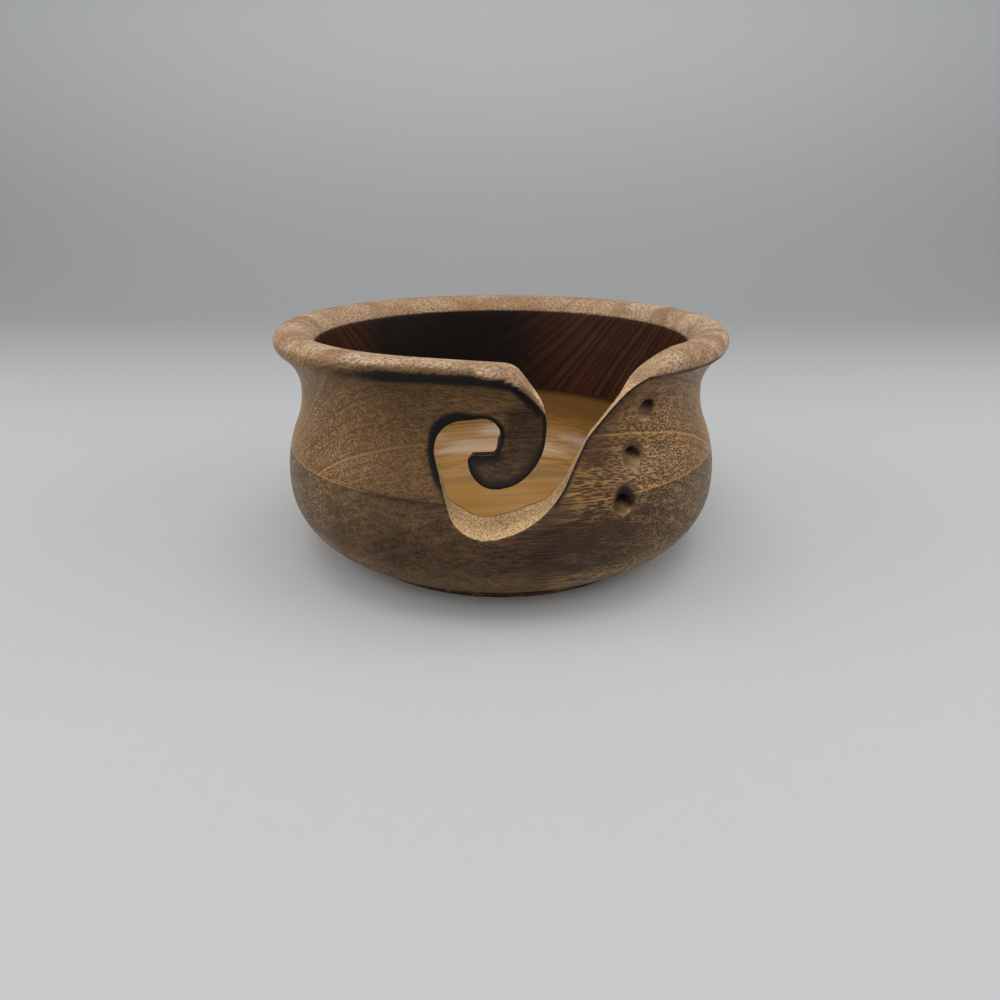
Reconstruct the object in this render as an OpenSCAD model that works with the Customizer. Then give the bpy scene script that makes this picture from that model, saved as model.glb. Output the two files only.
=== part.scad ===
// Turned wooden yarn bowl, glued up from two boards laid face to face.
// Millimetres, +Z up. The origin is the centre of the foot's underside.
// The curled yarn slot opens towards -Y.

/* [Boards] */
// Thickness of the lower board, from the underside of the foot to the glue joint
lower_board_t = 38.6; // [34:0.1:46]
// Thickness of the upper board, from the glue joint to the top of the rim
upper_board_t = 38.6; // [34:0.1:46]
// Thickness of the glue film between the boards
glue_t = 0.2; // [0.1:0.05:0.5]

/* [Outside] */
// Widest diameter of the belly, which the foot, neck, rim and hollow follow
belly_d = 151.4; // [136:0.2:170]
// How much narrower the foot is than the belly, across
foot_in = 38.2; // [28:0.2:60]
// Height of the foot below the body
foot_h = 3.5; // [2:0.1:6]
// Radius of the turn from the underside to the belly
belly_low_r = 22.5; // [12:0.5:26]
// Radius of the belly above its widest line
belly_high_r = 41.5; // [20:0.5:50]
// Lean of the shoulder from upright, between belly and neck, in degrees
shoulder_lean = 25; // [20:0.5:30]
// How much narrower the neck is than the belly, across
neck_in = 13.8; // [10:0.2:18]
// Depth of the neck's upper corner below the rim, before it is rounded
neck_drop = 11.4; // [10:0.1:14]
// Depth of the neck's lower corner below the rim, before it is rounded
waist_drop = 25.8; // [22:0.1:30]
// Radius of the hollow above the neck
neck_high_r = 15; // [6:0.5:18]
// Radius of the hollow below the neck
neck_low_r = 31; // [12:0.5:34]

/* [Rim] */
// How much wider the rim is than the belly, across
rim_over = 0.6; // [-4:0.1:6]
// Thickness of the rim, before its edges are rounded
rim_t = 12.4; // [10:0.1:16]
// Radius of the rim's rounded outer edge
lip_r = 3.8; // [2:0.1:4.5]
// Radius of the rim's rounded inner edge
rim_in_r = 7.4; // [3:0.1:8]

/* [Inside] */
// How much narrower the hollow is at the floor than at the rim, across
taper = 10; // [2:0.2:24]
// Thickness of the floor, the foot included
floor_t = 9; // [6:0.2:20]
// Radius of the turn from the floor to the wall
floor_r = 20; // [8:0.5:26]

/* [Yarn slot] */
// Depth of the slot's lowest corner below the rim
slot_drop = 49.3; // [44:0.1:56]
// Depth of the hook's underside below the rim
hook_drop = 34.3; // [32:0.1:38]
// Reach of the hook's tip to the left of the centre line
tip_x = 9.1; // [6:0.1:11]
// Height of the hook's tip
tip_h = 8.4; // [6:0.1:10]
// Reach of the hook's outer curve to the right of the centre line
hook_x = 12.6; // [10:0.1:14]
// Depth of the top of the eye below the rim
eye_drop = 14.5; // [13:0.1:18]
// Reach of the eye to the left of the centre line
eye_x = 18.6; // [16:0.1:24]
// Reach of the slot's mouth to the right, at the rim
mouth_x = 47.5; // [42:0.1:52]

/* [Needle holes] */
// Diameter of the needle holes
hole_d = 6; // [3:0.1:8]
// Depth of each hole's axis below the rim, from the top hole down
hole_drop = [16.9, 29.6, 41.3]; // [12:0.1:46]
// Turn of each hole's axis to the right of the slot's centre line, in degrees
hole_turn = [36.3, 31.6, 27.5]; // [26:0.1:60]

/* [Hidden] */
$fn = 96;
turned_fn = 240;

joint_z = lower_board_t;
upper_z = lower_board_t + glue_t;
rim_z = lower_board_t + glue_t + upper_board_t;

belly_r = belly_d / 2;
foot_r = (belly_d - foot_in) / 2;
neck_r = (belly_d - neck_in) / 2;
rim_r = (belly_d + rim_over) / 2;
mouth_r = rim_r - rim_t;
hollow_r = mouth_r - taper / 2;

// The shoulder runs straight from the belly's corner to the waist's corner.
waist_z = rim_z - waist_drop;
shoulder_z = waist_z - (belly_r - neck_r) / tan(shoulder_lean);

// The lip's lower corner stands just far enough below the rim for both roundings.
neck_z = rim_z - neck_drop;
lip_z = rim_z - 1.5 * lip_r;

// How far the cuts run past the wood.
clear = 12;

// Widest gap between a rounded corner's arc and the short edges that follow it.
chord_gap = 0.02;

// Closed cross-section of the wall and floor: radius, height, rounding of each corner.
WALL = [
    [0, foot_h, 0],
    [belly_r, foot_h, belly_low_r],
    [belly_r, shoulder_z, belly_high_r],
    [neck_r, waist_z, neck_low_r],
    [neck_r, neck_z, neck_high_r],
    [rim_r, lip_z, lip_r],
    [rim_r, rim_z, lip_r],
    [mouth_r, rim_z, rim_in_r],
    [hollow_r, floor_t, floor_r],
    [0, floor_t, 0],
];

// Heights of the slot's features, all hung from the rim.
slot_z = rim_z - slot_drop;
hook_z = rim_z - hook_drop;
tip_z = hook_z + tip_h;
eye_z = rim_z - eye_drop;

// Outline of the slot seen from the front: x, height, rounding of each corner.
// It runs down the hook, round its tip, through the eye and back up to the rim.
SLOT = [
    [-8, rim_z + clear, 0],
    [-8, rim_z + 0.5, 0],
    [3, rim_z - 0.7, 6.7],
    [hook_x, rim_z - 14.6, 14.3],
    [hook_x - 1.7, hook_z + 0.1, 13.7],
    [0.5 - tip_x, hook_z - 0.3, 7.4],
    [-tip_x - 0.2, tip_z - 0.1, 1.4],
    [-1.8, tip_z + 0.3, 1],
    [2.4, eye_z, 4.7],
    [-eye_x, eye_z - 3.7, 8.7],
    [0.6 - eye_x, eye_z - 12.5, 7],
    [-12, slot_z, 9.9],
    [11.4, slot_z + 3.1, 27.7],
    [23.5, rim_z - 22.3, 12],
    [mouth_x - 10.7, rim_z - 6.7, 31],
    [mouth_x, rim_z + 0.3, 0],
    [mouth_x, rim_z + clear, 0],
];

function spot(list, i) = [list[i % len(list)][0], list[i % len(list)][1]];
function rounding(list, i) = list[i % len(list)][2];
function heading(from, to) = (to - from) / norm(to - from);
function back(list, i) = heading(spot(list, i), spot(list, i + len(list) - 1));
function ahead(list, i) = heading(spot(list, i), spot(list, i + 1));
function half_angle(list, i) = acos(back(list, i) * ahead(list, i)) / 2;
function edge(list, i) = norm(spot(list, i + 1) - spot(list, i));

// How far along each edge a corner's rounding starts.
function reach(list, i) = rounding(list, i) / tan(half_angle(list, i));

// Two roundings that share an edge are eased down together when it is too short.
function ease(list, i) = min(1, edge(list, i) / max(0.001, reach(list, i) + reach(list, i + 1)));
function fit(list, i) = min(ease(list, i), ease(list, i + len(list) - 1));

function start(list, i) = spot(list, i) + back(list, i) * reach(list, i) * fit(list, i);
function finish(list, i) = spot(list, i) + ahead(list, i) * reach(list, i) * fit(list, i);
function inward(list, i) = heading([0, 0], back(list, i) + ahead(list, i));
function radius(list, i) = rounding(list, i) * fit(list, i);
function centre(list, i) =
    spot(list, i) + inward(list, i) * radius(list, i) / sin(half_angle(list, i));
function is_round(list, i) = rounding(list, i) > 0;

// Signed turn of a corner's arc, cut into steps that stay within the chord gap.
function swing(list, i) = sign(cross(-back(list, i), ahead(list, i))) * (180 - 2 * half_angle(list, i));
function steps(list, i) =
    ceil(abs(swing(list, i)) / (2 * acos(1 - chord_gap / max(1, radius(list, i)))));
function arc_point(list, i, part) =
    let (from = start(list, i) - centre(list, i))
    let (angle = atan2(from.y, from.x) + swing(list, i) * part)
    centre(list, i) + radius(list, i) * [cos(angle), sin(angle)];

// A closed outline, given anticlockwise, with each corner rounded by its own radius.
function rounded(list) = [
    for (i = [0:len(list) - 1])
        each is_round(list, i)
            ? [for (k = [0:steps(list, i)]) arc_point(list, i, k / steps(list, i))]
            : [spot(list, i)]
];

// Half cross-section of the whole bowl, the foot included.
module half_section() {
    union() {
        polygon(rounded(WALL));
        square([foot_r, foot_h + 1]);
    }
}

// The turned bowl between two heights, before it is cut.
module turned(low, high) {
    rotate_extrude($fn = turned_fn)
        intersection() {
            half_section();
            translate([0, low])
                square([rim_r + clear, high - low]);
        }
}

// The slot is sawn straight through the front wall, square to the front.
module slot_cut() {
    translate([0, -mouth_r / 2, 0])
        rotate([90, 0, 0])
            linear_extrude(height = rim_r)
                polygon(rounded(SLOT));
}

// The needle holes point at the bowl's axis.
module hole_cuts() {
    for (i = [0:len(hole_drop) - 1])
        rotate([0, 0, hole_turn[i]])
            translate([0, clear - hollow_r, rim_z - hole_drop[i]])
                rotate([90, 0, 0])
                    cylinder(h = rim_r - hollow_r + 2 * clear, d = hole_d);
}

module layer(low, high) {
    difference() {
        turned(low, high);
        slot_cut();
        hole_cuts();
    }
}

// Upper board: the rim, the neck and the whole curled hook.
module upper_board() {
    color([0.42, 0.30, 0.21])
        layer(upper_z, rim_z);
}

// Film of set glue that holds the boards together.
module glue_joint() {
    color([0.20, 0.14, 0.09])
        layer(joint_z, upper_z);
}

// Lower board: the belly, the floor and the foot.
module lower_board() {
    color([0.50, 0.37, 0.22])
        layer(0, joint_z);
}

upper_board();
glue_joint();
lower_board();
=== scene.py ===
"""Turned wooden yarn bowl, glued up from two boards, with a curled slot and needle holes."""

import math

import bmesh
import bpy
import numpy as np
from bpy.props import FloatProperty, FloatVectorProperty, PointerProperty
from bpy.types import Operator, Panel, PropertyGroup
from mathutils import Matrix, Vector


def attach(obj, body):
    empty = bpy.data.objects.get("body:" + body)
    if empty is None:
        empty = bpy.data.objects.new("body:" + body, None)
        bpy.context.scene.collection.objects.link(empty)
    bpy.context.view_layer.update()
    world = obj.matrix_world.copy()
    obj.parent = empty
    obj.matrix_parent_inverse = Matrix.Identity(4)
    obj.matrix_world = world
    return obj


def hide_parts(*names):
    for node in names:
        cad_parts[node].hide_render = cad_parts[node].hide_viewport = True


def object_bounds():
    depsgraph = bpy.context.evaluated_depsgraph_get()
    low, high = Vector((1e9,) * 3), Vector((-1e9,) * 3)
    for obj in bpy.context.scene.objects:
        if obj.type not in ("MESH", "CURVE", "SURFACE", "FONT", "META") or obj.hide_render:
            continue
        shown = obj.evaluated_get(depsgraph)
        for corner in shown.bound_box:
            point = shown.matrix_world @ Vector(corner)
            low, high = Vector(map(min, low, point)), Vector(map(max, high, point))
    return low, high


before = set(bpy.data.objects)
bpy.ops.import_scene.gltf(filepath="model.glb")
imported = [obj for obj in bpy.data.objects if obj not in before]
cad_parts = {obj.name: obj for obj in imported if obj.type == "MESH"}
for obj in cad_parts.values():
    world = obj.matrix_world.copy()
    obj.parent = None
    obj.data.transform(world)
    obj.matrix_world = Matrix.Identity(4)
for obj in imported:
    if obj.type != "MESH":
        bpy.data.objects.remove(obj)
cad_low, cad_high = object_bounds()

bl_info = {
    "name": "Yarn Bowl",
    "version": (1, 0, 0),
    "blender": (4, 5, 0),
    "location": "3D View > Sidebar > Yarn Bowl",
    "description": "Turned yarn bowl with a curled slot, sanded rim and torched edges",
    "category": "Add Mesh",
}

# The pieces are worked out in millimetres and made in metres.
MM = 0.001

# Driving sizes in metres. Height and rim are the frame's, to a tenth of a millimetre. The frame's
# rim has short straight edges, so the side that reaches farthest is nearest to the round rim's.
HEIGHT = round(cad_high[2], 4)
RIM = round(2 * max(cad_high[0], cad_high[1], -cad_low[0], -cad_low[1]), 4)
GLUE = 0.0002
BELLY = RIM - 0.0006
MOUTH = RIM - 0.0248

# Corners of the outside before they are rounded: depth below the rim, in millimetres.
LIP_DROP = 5.7
NECK_DROP = 11.4
WAIST_DROP = 25.8
# Lean of the shoulder from upright, in degrees.
SHOULDER_LEAN = 25
# Roundings of the wall's corners, in millimetres.
BELLY_LOW_ROUND = 22.5
BELLY_HIGH_ROUND = 41.5
NECK_LOW_ROUND = 31
NECK_HIGH_ROUND = 15
LIP_ROUND = 3.8
RIM_INSIDE_ROUND = 7.4
FLOOR_ROUND = 20
FOOT_EASE = 0.6
# How many steps the blank is turned in.
TURN_STEPS = 180

# The slot, in millimetres: depths below the rim, and reaches left or right of the middle.
SLOT_DROP = 49.3
HOOK_DROP = 34.3
EYE_DROP = 14.5
TIP_RISE = 8.4
TIP_REACH = 9.1
HOOK_REACH = 12.6
EYE_REACH = 18.6
MOUTH_REACH = 47.5

# Each needle hole from the top down: depth below the rim, and turn to the right in degrees.
HOLES = ((16.9, 36.3), (29.6, 31.6), (41.3, 27.5))
# Rounding of the holes' edges, in millimetres.
HOLE_EDGE_ROUND = 0.55

# How far outside a shape a point is taken to be where there is nothing to measure to.
FAR = 50.0


def length(name, description, default):
    """A size in metres that a user can change."""
    return FloatProperty(
        name=name, description=description, default=default, min=0.0, unit="LENGTH", precision=4
    )


def tint(name, description, default):
    """A colour that a user can change."""
    return FloatVectorProperty(
        name=name, description=description, default=default, size=3, min=0.0, max=1.0, subtype="COLOR"
    )


class YARNBOWL_PG_sizes(PropertyGroup):
    """Sizes of the turning, the slot and the needle holes"""

    height: length("Height", "From the underside of the foot to the top of the rim", HEIGHT)
    joint_height: length("Joint height", "From the foot's underside to the glue joint", (HEIGHT - GLUE) / 2)
    glue: length("Glue", "Thickness of the glue film between the boards", GLUE)
    foot: length("Foot", "Diameter of the foot", BELLY - 0.0382)
    foot_height: length("Foot height", "Height of the foot below the body", 0.0035)
    belly: length("Belly", "Widest diameter of the belly", BELLY)
    neck: length("Neck", "Diameter at the neck", BELLY - 0.0138)
    rim: length("Rim", "Outer diameter of the rim", RIM)
    mouth: length("Mouth", "Diameter of the hollow at the rim", MOUTH)
    floor_width: length("Floor", "Diameter of the hollow at the floor", MOUTH - 0.01)
    floor_height: length("Floor thickness", "Thickness of the floor, the foot included", 0.009)
    hole: length("Needle holes", "Diameter of the needle holes", 0.006)
    grain: length("Mesh step", "Spacing of the points on the bowl's surface", 0.0009)


class YARNBOWL_PG_colours(PropertyGroup):
    """Colours of the wood, the cuts and the stage"""

    upper_light: tint("Upper board, light", "Pale bands of the upper board", (0.385, 0.210, 0.072))
    upper_dark: tint("Upper board, dark", "Dark bands of the upper board", (0.190, 0.090, 0.028))
    lower_light: tint("Lower board, light", "Pale bands of the lower board", (0.260, 0.150, 0.058))
    lower_dark: tint("Lower board, dark", "Dark bands of the lower board", (0.105, 0.055, 0.022))
    pore: tint("Pores", "Open pores in the wood", (0.034, 0.013, 0.005))
    sanded: tint("Sanded rim", "Freshly sanded wood on the rim", (0.560, 0.405, 0.265))
    rubbed: tint("Rubbed rim", "Darker patches of the sanded rim", (0.310, 0.180, 0.098))
    sawn: tint("Sawn faces", "Freshly sawn wood in the slot", (0.720, 0.470, 0.240))
    burnt: tint("Torched wood", "Wood that a flame has blackened", (0.0055, 0.0038, 0.0036))
    ember: tint("Scorched grain", "Reddish grain between the blackened", (0.075, 0.037, 0.020))
    hollow_dark: tint("Upper hollow", "Inside of the upper board", (0.0045, 0.0018, 0.0008))
    hollow_red: tint("Upper hollow, sides", "Redder wood at its sides", (0.066, 0.021, 0.008))
    hollow_gold: tint("Lower hollow", "Inside of the lower board", (0.360, 0.184, 0.044))
    glue: tint("Glue line", "Set glue between the boards", (0.040, 0.022, 0.013))
    floor: tint("Floor", "Stage floor and backdrop", (0.425, 0.434, 0.442))


# Outlines with rounded corners


def corner_arcs(corners):
    """Corners of [x, y, radius] in order, anticlockwise, as a list of rounded corners."""
    count = len(corners)
    spots = [Vector(c[:2]) for c in corners]
    back = [(spots[i - 1] - spots[i]).normalized() for i in range(count)]
    ahead = [(spots[(i + 1) % count] - spots[i]).normalized() for i in range(count)]
    half = [math.acos(max(-1, min(1, back[i].dot(ahead[i])))) / 2 for i in range(count)]
    reach = [corners[i][2] / math.tan(half[i]) for i in range(count)]
    ease = []
    for i in range(count):
        run = (spots[(i + 1) % count] - spots[i]).length
        ease.append(min(1.0, run / max(0.001, reach[i] + reach[(i + 1) % count])))
    arcs = []
    for i in range(count):
        fit = min(ease[i], ease[i - 1])
        radius = corners[i][2] * fit
        middle = (back[i] + ahead[i]).normalized()
        arcs.append(
            {
                "start": spots[i] + back[i] * reach[i] * fit,
                "finish": spots[i] + ahead[i] * reach[i] * fit,
                "centre": spots[i] + middle * radius / math.sin(half[i]),
                "radius": radius,
                "towards": -middle,
                "spread": math.pi / 2 - half[i],
                "outer": (-back[i]).cross(ahead[i]) > 0,
            }
        )
    return arcs


def arc_points(arcs, gap):
    """Points along the outline, no further than gap from its arcs."""
    points = []
    for arc in arcs:
        if arc["radius"] == 0:
            points.append(arc["start"])
            continue
        steps = max(2, math.ceil(arc["spread"] / math.acos(1 - gap / max(1, arc["radius"]))))
        turn = math.copysign(arc["spread"], 1 if arc["outer"] else -1)
        for k in range(steps + 1):
            angle = turn * (2 * k / steps - 1)
            out = Matrix.Rotation(angle, 2) @ arc["towards"]
            points.append(arc["centre"] + out * arc["radius"])
    return points


def outline_distance(arcs, x, y):
    """Signed distance of points to the outline: negative inside."""
    near = np.full(x.shape, np.inf)
    signed = np.full(x.shape, np.inf)
    for i, arc in enumerate(arcs):
        a = arc["finish"]
        b = arcs[(i + 1) % len(arcs)]["start"]
        run = b - a
        size = run.length
        if size > 1e-6:
            run = run / size
            along = np.clip((x - a.x) * run.x + (y - a.y) * run.y, 0, size)
            dx = x - a.x - along * run.x
            dy = y - a.y - along * run.y
            away = np.hypot(dx, dy)
            side = run.x * dy - run.y * dx
            closer = away < near
            near = np.where(closer, away, near)
            signed = np.where(closer, np.where(side > 0, -away, away), signed)
        if arc["radius"] > 0:
            dx = x - arc["centre"].x
            dy = y - arc["centre"].y
            out = np.hypot(dx, dy) + 1e-9
            lean = (dx * arc["towards"].x + dy * arc["towards"].y) / out
            away = np.abs(out - arc["radius"])
            closer = (away < near) & (lean > math.cos(arc["spread"]))
            near = np.where(closer, away, near)
            sign = 1 if arc["outer"] else -1
            signed = np.where(closer, sign * (out - arc["radius"]), signed)
    return signed


def smooth_step(low, high, value):
    """0 below low, 1 above high and smooth between; low may be the larger."""
    part = np.clip((value - low) / (high - low), 0, 1)
    return part * part * (3 - 2 * part)


# The bowl's form


class BowlForm:
    """The turned wall, the sawn slot and the drilled holes as one rounded solid, in millimetres."""

    def __init__(self, sizes):
        self.rim_z = sizes.height / MM
        self.joint_z = sizes.joint_height / MM
        self.glue_t = sizes.glue / MM
        self.foot_r = sizes.foot / MM / 2
        self.foot_z = sizes.foot_height / MM
        self.belly_r = sizes.belly / MM / 2
        self.neck_r = sizes.neck / MM / 2
        self.rim_r = sizes.rim / MM / 2
        self.mouth_r = sizes.mouth / MM / 2
        self.floor_r = sizes.floor_width / MM / 2
        self.floor_z = sizes.floor_height / MM
        self.hole_r = sizes.hole / MM / 2
        self.profile = self.wall_outline(0)
        # Past the axis this outline runs on, so that no distance is measured to its closing edge.
        self.wall = self.wall_outline(-30)
        self.slot = self.slot_outline()
        self.holes = []
        for drop, turn in HOLES:
            angle = math.radians(turn)
            self.holes.append((math.sin(angle), -math.cos(angle), self.rim_z - drop))
        self.trace_outside()

    def wall_outline(self, middle):
        """Cross-section of the wall and floor, closed at the radius given for its middle."""
        waist = self.rim_z - WAIST_DROP
        shoulder = waist - (self.belly_r - self.neck_r) / math.tan(math.radians(SHOULDER_LEAN))
        return corner_arcs(
            [
                [middle, self.foot_z, 0],
                [self.belly_r, self.foot_z, BELLY_LOW_ROUND],
                [self.belly_r, shoulder, BELLY_HIGH_ROUND],
                [self.neck_r, waist, NECK_LOW_ROUND],
                [self.neck_r, self.rim_z - NECK_DROP, NECK_HIGH_ROUND],
                [self.rim_r, self.rim_z - LIP_DROP, LIP_ROUND],
                [self.rim_r, self.rim_z, LIP_ROUND],
                [self.mouth_r, self.rim_z, RIM_INSIDE_ROUND],
                [self.floor_r, self.floor_z, FLOOR_ROUND],
                [middle, self.floor_z, 0],
            ]
        )

    def slot_outline(self):
        """The slot seen from the front: down the hook, round its tip and the eye, and back up."""
        rim, hook, slot, eye = (self.rim_z - drop for drop in (0, HOOK_DROP, SLOT_DROP, EYE_DROP))
        tip = hook + TIP_RISE
        return corner_arcs(
            [
                [-24, rim + 12, 0],
                [-24, rim + 2.3, 0],
                [3, rim - 0.7, 6.7],
                [HOOK_REACH, rim - 14.6, 14.3],
                [HOOK_REACH - 1.7, hook + 0.1, 13.7],
                [0.5 - TIP_REACH, hook - 0.3, 7.4],
                [-TIP_REACH - 0.2, tip - 0.1, 1.4],
                [-1.8, tip + 0.3, 1],
                [2.4, eye, 4.7],
                [-EYE_REACH, eye - 3.7, 8.7],
                [0.6 - EYE_REACH, eye - 12.5, 7],
                [-12, slot, 9.9],
                [11.4, slot + 3.1, 27.7],
                [23.5, rim - 22.3, 12],
                [MOUTH_REACH - 10.7, rim - 6.7, 31],
                [MOUTH_REACH + 7.5, rim + 5.3, 0],
                [MOUTH_REACH + 7.5, rim + 12, 0],
            ]
        )

    def trace_outside(self):
        """Lists the outside's heights and radii, so that its radius can be looked up."""
        outside = []
        for spot in arc_points(self.profile, 0.004):
            beyond_mouth = spot.x > self.mouth_r + 1
            below_joint = spot.y < self.joint_z and spot.x > self.floor_r + 2
            if beyond_mouth or below_joint:
                outside.append(spot)
        outside.sort(key=lambda spot: spot.y)
        self.outside_z = np.array([spot.y for spot in outside])
        self.outside_r = np.array([spot.x for spot in outside])

    def outer_radius(self, z):
        """Outer radius of the wall at a height, without the rim's upper rounding."""
        traced = np.interp(z, self.outside_z, self.outside_r)
        return np.where(z > self.rim_z - LIP_ROUND, self.rim_r, traced)

    def inner_radius(self, z):
        """Radius of the hollow at a height, without its roundings."""
        up = (z - self.floor_z) / (self.rim_z - self.floor_z)
        return self.floor_r + (self.mouth_r - self.floor_r) * up

    def depth(self, points):
        """0 at the outer face and 1 at the hollow."""
        r, z = np.hypot(points[:, 0], points[:, 1]), points[:, 2]
        outside = self.outer_radius(z)
        return np.clip((outside - r) / (outside - self.inner_radius(z)), 0, 1)

    def slot_distance(self, points):
        """Signed distance to the slot, which widens a little towards the hollow."""
        x, z = points[:, 0], points[:, 2]
        ledge = on_ledge(z)
        left = smooth_step(-7, -13, x) * smooth_step(70, 62, z)
        # The channel right of the hook leans outwards as it rises.
        past_middle = x - 12.5 - 0.42 * (z - 42)
        right = smooth_step(-1.5, 1.5, past_middle) * smooth_step(72, 63, z)
        tip = smooth_step(-0.6, -2.0, x) * smooth_step(54.5, 53, z) * smooth_step(48, 50, z) * (x > -11)
        flare = 1.5 * np.maximum.reduce([left, right, tip]) * (1 - ledge) - 0.9 * ledge
        flat = outline_distance(self.slot, x, z) - flare * self.depth(points)
        return np.where(points[:, 1] < 0, flat, FAR)

    def foot_distance(self, r, z):
        """Signed distance to the foot: a short disc with a slightly eased lower edge."""
        half = 4
        across, up = r - self.foot_r + FOOT_EASE, np.abs(z - half) - half + FOOT_EASE
        outside = np.hypot(np.maximum(across, 0), np.maximum(up, 0))
        return outside + np.minimum(np.maximum(across, up), 0) - FOOT_EASE

    def parts(self, points):
        """Signed distances to the wall, the slot and the holes."""
        r, z = np.hypot(points[:, 0], points[:, 1]), points[:, 2]
        wall = np.minimum(outline_distance(self.wall, r, z), self.foot_distance(r, z))
        hole = np.full(len(points), FAR)
        for aim_x, aim_y, hole_z in self.holes:
            along = points[:, 0] * aim_x + points[:, 1] * aim_y
            across = points[:, 0] * -aim_y + points[:, 1] * aim_x
            bore = np.hypot(across, z - hole_z) - self.hole_r
            hole = np.where(near_wall(along), np.minimum(hole, bore), hole)
        return wall, self.slot_distance(points), hole

    def edge_radius(self, points):
        """Rounding of the slot's edges: soft at the crest, crisp on the ledge."""
        z = points[:, 2]
        return 0.75 + 1.2 * smooth_step(68, 75, z) - 0.3 * on_ledge(z)

    def distance(self, points):
        """Signed distance to the finished bowl."""
        wall, slot, hole = self.parts(points)
        cut = rounded_cut(wall, slot, self.edge_radius(points))
        return rounded_cut(cut, hole, HOLE_EDGE_ROUND)

    def settle(self, points, rounds=4):
        """Points moved along the form's slope until they lie on its surface."""
        points = points.copy()
        step = 0.02
        longest = 0.6
        for _ in range(rounds):
            value = self.distance(points)
            slope = np.empty_like(points)
            for axis in range(3):
                shifted = points.copy()
                shifted[:, axis] += step
                slope[:, axis] = (self.distance(shifted) - value) / step
            size = np.maximum((slope**2).sum(1), 0.25)
            points -= np.clip(value / size, -longest, longest)[:, None] * slope
        return points


def on_ledge(z):
    """1 on the slot's lowest part, the ledge, and 0 above it."""
    return smooth_step(36, 31, z)


def near_wall(along):
    """True on the side of the axis that a hole is drilled from."""
    return along > 40


def rounded_cut(solid, tool, radius):
    """Signed distance to a solid less a tool, with the edge between them rounded."""
    over_wall = np.maximum(solid + radius, 0)
    over_tool = np.maximum(-tool + radius, 0)
    return np.minimum(-radius, np.maximum(solid, -tool)) + np.hypot(over_wall, over_tool)


# Mesh helpers


def mesh_object(name, bm):
    """A new object from a bmesh, linked to the scene."""
    mesh = bpy.data.meshes.new(name)
    bm.to_mesh(mesh)
    bm.free()
    obj = bpy.data.objects.new(name, mesh)
    bpy.context.scene.collection.objects.link(obj)
    return obj


def turned_blank(form):
    """The whole bowl before it is cut, turned from its half outline."""
    bm = bmesh.new()
    points = arc_points(form.profile, 0.02)
    verts = [bm.verts.new((spot.x * MM, 0, spot.y * MM)) for spot in points]
    edges = [bm.edges.new((a, b)) for a, b in zip(verts, verts[1:])]
    bmesh.ops.spin(
        bm,
        geom=verts + edges,
        cent=(0, 0, 0),
        axis=(0, 0, 1),
        angle=math.tau,
        steps=TURN_STEPS,
        use_merge=True,
    )
    bmesh.ops.remove_doubles(bm, verts=bm.verts, dist=1e-6)
    bmesh.ops.recalc_face_normals(bm, faces=bm.faces)
    return mesh_object("turned_blank", bm)


def foot_blank(form):
    """The disc that the bowl stands on."""
    bm = bmesh.new()
    top = form.foot_z + 2
    bmesh.ops.create_cone(
        bm,
        cap_ends=True,
        segments=TURN_STEPS,
        radius1=form.foot_r * MM,
        radius2=form.foot_r * MM,
        depth=top * MM,
        matrix=Matrix.Translation((0, 0, top / 2 * MM)),
    )
    return mesh_object("foot_blank", bm)


def slot_tool(form):
    """The piece that the saw takes out of the front wall."""
    before_rim, length_back = -0.09, 0.06
    bm = bmesh.new()
    verts = [bm.verts.new((spot.x * MM, before_rim, spot.y * MM)) for spot in arc_points(form.slot, 0.03)]
    face = bm.faces.new(verts)
    walls = bmesh.ops.extrude_face_region(bm, geom=[face])
    moved = [g for g in walls["geom"] if isinstance(g, bmesh.types.BMVert)]
    bmesh.ops.translate(bm, verts=moved, vec=(0, length_back, 0))
    bmesh.ops.recalc_face_normals(bm, faces=bm.faces)
    return mesh_object("slot_tool", bm)


def hole_tools(form):
    """The drill's path for each needle hole."""
    middle_r, reach = 0.068, 0.04
    bm = bmesh.new()
    for aim_x, aim_y, z in form.holes:
        turn = Vector((aim_x, aim_y, 0)).to_track_quat("Z", "Y").to_matrix().to_4x4()
        place = Matrix.Translation((aim_x * middle_r, aim_y * middle_r, z * MM)) @ turn
        bmesh.ops.create_cone(
            bm,
            cap_ends=True,
            segments=48,
            radius1=form.hole_r * MM,
            radius2=form.hole_r * MM,
            depth=reach,
            matrix=place,
        )
    return mesh_object("hole_tools", bm)


def carved_mesh(form, step):
    """The turned blank with the slot and holes cut, as an even net of small faces."""
    blank = turned_blank(form)
    tools = (
        (foot_blank(form), "UNION"),
        (slot_tool(form), "DIFFERENCE"),
        (hole_tools(form), "DIFFERENCE"),
    )
    for tool, operation in tools:
        cut = blank.modifiers.new(tool.name, "BOOLEAN")
        cut.operation = operation
        cut.solver = "EXACT"
        cut.object = tool
    net = blank.modifiers.new("net", "REMESH")
    net.mode = "VOXEL"
    net.voxel_size = step
    net.use_smooth_shade = True
    evaluated = blank.evaluated_get(bpy.context.evaluated_depsgraph_get())
    mesh = bpy.data.meshes.new_from_object(evaluated)
    for obj in (blank, *(tool for tool, _ in tools)):
        bpy.data.objects.remove(obj)
    return mesh


def points_of(mesh):
    """The mesh's points in millimetres."""
    flat = np.empty(len(mesh.vertices) * 3, np.float32)
    mesh.vertices.foreach_get("co", flat)
    return flat.reshape(-1, 3).astype(float) / MM


def place_points(mesh, points):
    """Moves the mesh's points, given in millimetres."""
    mesh.vertices.foreach_set("co", (points * MM).astype(np.float32).ravel())
    mesh.update()


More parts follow.
